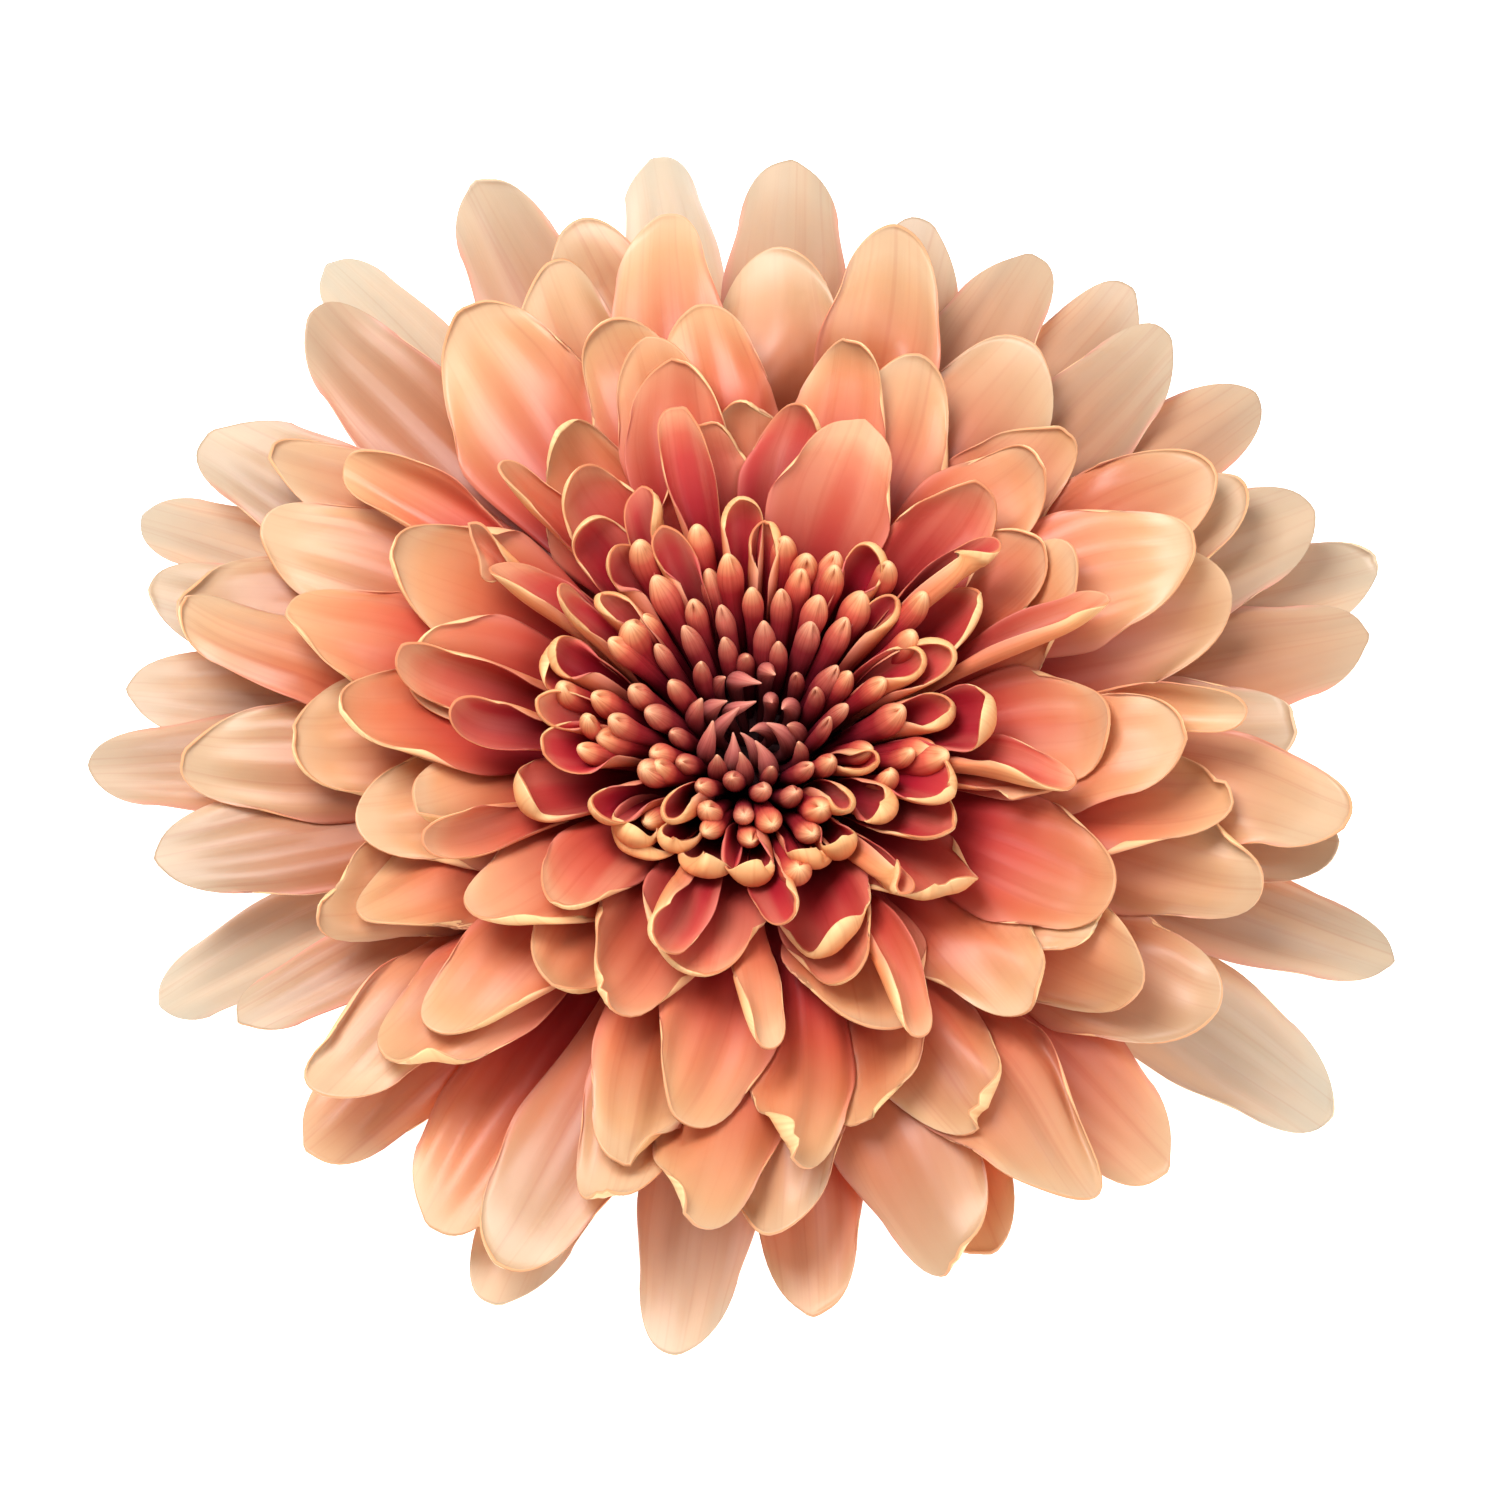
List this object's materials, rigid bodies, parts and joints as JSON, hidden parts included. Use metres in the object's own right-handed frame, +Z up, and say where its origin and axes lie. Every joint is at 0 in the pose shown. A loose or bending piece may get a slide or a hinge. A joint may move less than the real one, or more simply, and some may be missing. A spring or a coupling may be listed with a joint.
{
  "type": "chrysanthemum bloom",
  "caption": "Large double chrysanthemum bloom as picked: layered peach ray florets round a dark quilled centre, on a green calyx with a short trimmed stub.",
  "frame": {"origin": "middle of the base of the bloom's bounding box, on the surface that it rests on", "axes": "+Z up out of the face of the bloom, +Y away from the viewer of the picture, +X to the viewer's right"},
  "size_m": [0.12, 0.1236, 0.029],
  "materials": {
    "stalk": "fresh green stalk, faintly ribbed, with a paler cut end",
    "calyx": "dull green bracts with pale dry edges",
    "guard_petal": "pale cream petal with fine lengthwise ridges, soft satin",
    "outer_petal": "peach petal fading to coral at its root, soft satin",
    "inner_petal": "coral to wine-red hooded petal with cream rims, soft satin",
    "centre_petal": "copper quills, purple-brown towards the middle, soft satin"
  },
  "bodies": {
    "root": {"stem": "stalk", "bracts": "calyx", "guard_florets": "guard_petal", "outer_florets": "outer_petal", "inner_florets": "inner_petal", "centre_florets": "centre_petal"}
  },
  "joints": []
}
